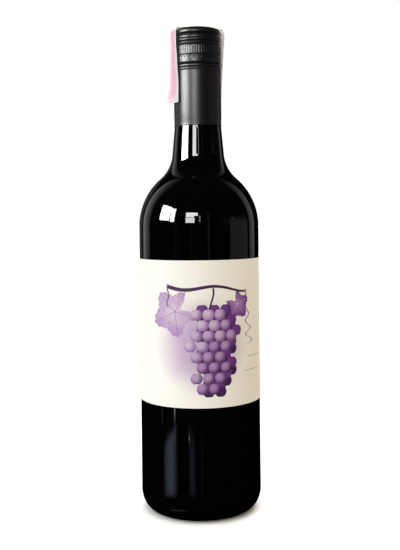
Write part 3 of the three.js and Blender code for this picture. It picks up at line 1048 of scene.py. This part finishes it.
# %% The strip's sheet
def strip_sheet(columns=25):
    """The path carried across the paper's width.

    On its way down the left leg turns about its back edge by a smooth step, and the tail about its front
    edge by another. The glued end falls back by R (1 - cos) as an arc of radius R does. The free
    stretches curl a little at their edges, and wave.
    """
    path = strip_path()
    length = path[-1, 2]
    along = np.array([math.sin(STRIP_TURN), math.cos(STRIP_TURN), 0.0])
    sideways = np.array([math.cos(STRIP_TURN), -math.sin(STRIP_TURN), 0.0])
    upwards = np.array([0.0, 0.0, 1.0])
    heading = np.gradient(path[:, :2], path[:, 2], axis=0)
    heading /= np.linalg.norm(heading, axis=1, keepdims=True)

    on_right = path[:, 0] > 0
    lowered = smooth_step(-path[:, 1], 8 - CAP_TOP, 34 - CAP_TOP) * ~on_right
    leg_turn = STRIP_LEG_TURN * lowered
    tail = np.clip(1 - path[:, 2] / STRIP_TAIL_LENGTH, 0, 1)
    twist = leg_turn + STRIP_TAIL_TWIST * tail * tail * (3 - 2 * tail)

    def turned(direction, angle):
        """A level direction turned about +Z by an angle for each step of the path."""
        return np.cos(angle)[:, None] * direction + np.sin(angle)[:, None] * np.cross(upwards, direction)

    front_edge = STRIP_WIDTH * turned(sideways, leg_turn) - STRIP_WIDTH / 2 * sideways
    front_edge -= STRIP_LEG_SHIFT * lowered[:, None] * turned(along, leg_turn)
    turned_along, turned_side = turned(along, twist), turned(sideways, twist)
    outwards = -heading[:, 1:] * turned_along + heading[:, :1] * upwards

    drop = np.clip((STRIP_BEND_TOP - path[:, 1]) / (STRIP_BEND_TOP - STRIP_FAR_END), 0, 1) * on_right
    bend = np.sin(drop * math.pi / 2)[:, None]
    across = np.linspace(-0.5, 0.5, columns)[None, :] * STRIP_WIDTH
    turn = across / STRIP_GLUED_REACH
    fall_back = bend * STRIP_GLUED_REACH * (1 - np.cos(turn))
    pull_in = bend * STRIP_GLUED_REACH * (turn - np.sin(turn))
    free = (1 - bend) * smooth_step(path[:, 2:], 2.0, 12.0) * smooth_step(-np.abs(path[:, :1]), -15.6, -15.3)
    free = np.maximum(free, (path[:, 0] < -15)[:, None] * 1.0)
    curl = 0.22 * free * (2 * across / STRIP_WIDTH) ** 2
    wave = 0.10 * np.sin(0.32 * path[:, 2:] + 0.2 * across) * (np.abs(path[:, :1]) > 14) * (1 - bend)
    points = (
        (path[:, :1] * along + path[:, 1:2] * upwards + front_edge)[:, None, :]
        + (across - STRIP_WIDTH / 2 - pull_in)[..., None] * turned_side[:, None, :]
        + (curl + wave - fall_back)[..., None] * outwards[:, None, :]
    )
    flat = np.stack(
        np.broadcast_arrays(path[:, 2:] / length, (across + STRIP_WIDTH / 2) / length), axis=-1
    )
    directions = np.broadcast_to(outwards[:, None, :], points.shape)
    return points, directions, flat, length


strip_finish, start = new_finish("pink_seal_paper")
points, outwards, flat, STRIP_LENGTH = strip_sheet()
# The faces must look outwards, so the grid runs from the back edge to the front one.
points, outwards, flat = [grid[:, ::-1] for grid in (points, outwards, flat)]
strip = paper_piece("seal_strip_paper", points, outwards, STRIP_THICKNESS, flat, strip_finish)
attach(strip, "root")
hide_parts("seal_strip")
print(f"the strip is {STRIP_LENGTH:.1f} x {STRIP_WIDTH:.0f} mm when flat")

# %% [markdown]
# ### Pink line print
#
# Seal strips are printed with fine crossing waves, which are hard to copy well, in a tint that is deeper
# along the middle. It leaves a pale margin along both edges and fades towards the torn end. The waves are
# sines along the strip. Where the paper was torn, its fibres are bare and white, and the back has no print.

# %% The strip's finish
along_strip, from_edge, printed_face = place_on_sheet(start, STRIP_LENGTH)
over_strip = from_edge - STRIP_WIDTH / 2
position = start.node("ShaderNodeCombineXYZ", {}, {0: along_strip, 1: over_strip})
felt = grain(position, 0.45, detail=3.0)
cloudy = grain(position, 5.0, detail=2.0)


WAVELENGTH = 9.0
WAVE_THICK = 0.22
PRINT_EDGE = 0.08
EDGE_LINE = 5.6
EDGE_LINE_THICK = 0.32


def wave_line(swing, phase):
    """A line that swings over the strip as a sine along it."""
    middle = swing * (along_strip * (2 * math.pi / WAVELENGTH) + phase).sine()
    return (abs(over_strip - middle) - WAVE_THICK / 2).step(PRINT_EDGE, -PRINT_EDGE)


lines = (abs(abs(over_strip) - EDGE_LINE) - EDGE_LINE_THICK / 2).step(PRINT_EDGE, -PRINT_EDGE)
for swing, first_phase in ((4.6, 0.0), (3.2, 1.0), (1.8, 0.5)):
    for crossing in range(3):
        lines = lines.most(wave_line(swing, first_phase + 2.1 * crossing))

PINK = (1.0, 0.37, 0.49)
DEEP_PINK = (0.90, 0.21, 0.33)
PALE_PINK = (0.99, 0.72, 0.80)
MARGIN = (0.97, 0.89, 0.93)
BARE_PAPER = (0.90, 0.86, 0.84)
middle_share = abs(over_strip).step(6.6, 2.2)
strip_colour = blend_colours(middle_share * (0.85 + 0.3 * (cloudy - 0.5)), PALE_PINK, PINK)
strip_colour = blend_colours(lines * 0.38, strip_colour, DEEP_PINK)
strip_colour = blend_colours(abs(over_strip).step(5.9, 6.3), strip_colour, MARGIN)
faded = along_strip.step(7.0, 0.0) * 0.35
strip_colour = blend_colours(faded, strip_colour, MARGIN)
torn = (along_strip + (felt - 0.5) * 1.6).step(1.3, 0.4)
strip_colour = blend_colours(torn, strip_colour, BARE_PAPER)
strip_colour = blend_colours(printed_face, BARE_PAPER, strip_colour)
finish_surface(
    start,
    {
        "IOR": 1.45,
        "Specular IOR Level": 0.12,
        "Subsurface Weight": 0.8,
        "Subsurface Radius": (1.0, 0.9, 0.85),
        "Subsurface Scale": 0.0008,
    },
    {"Base Color": strip_colour, "Roughness": 0.78 + 0.1 * felt},
    height=felt * 0.025 + cloudy * 0.03,
)
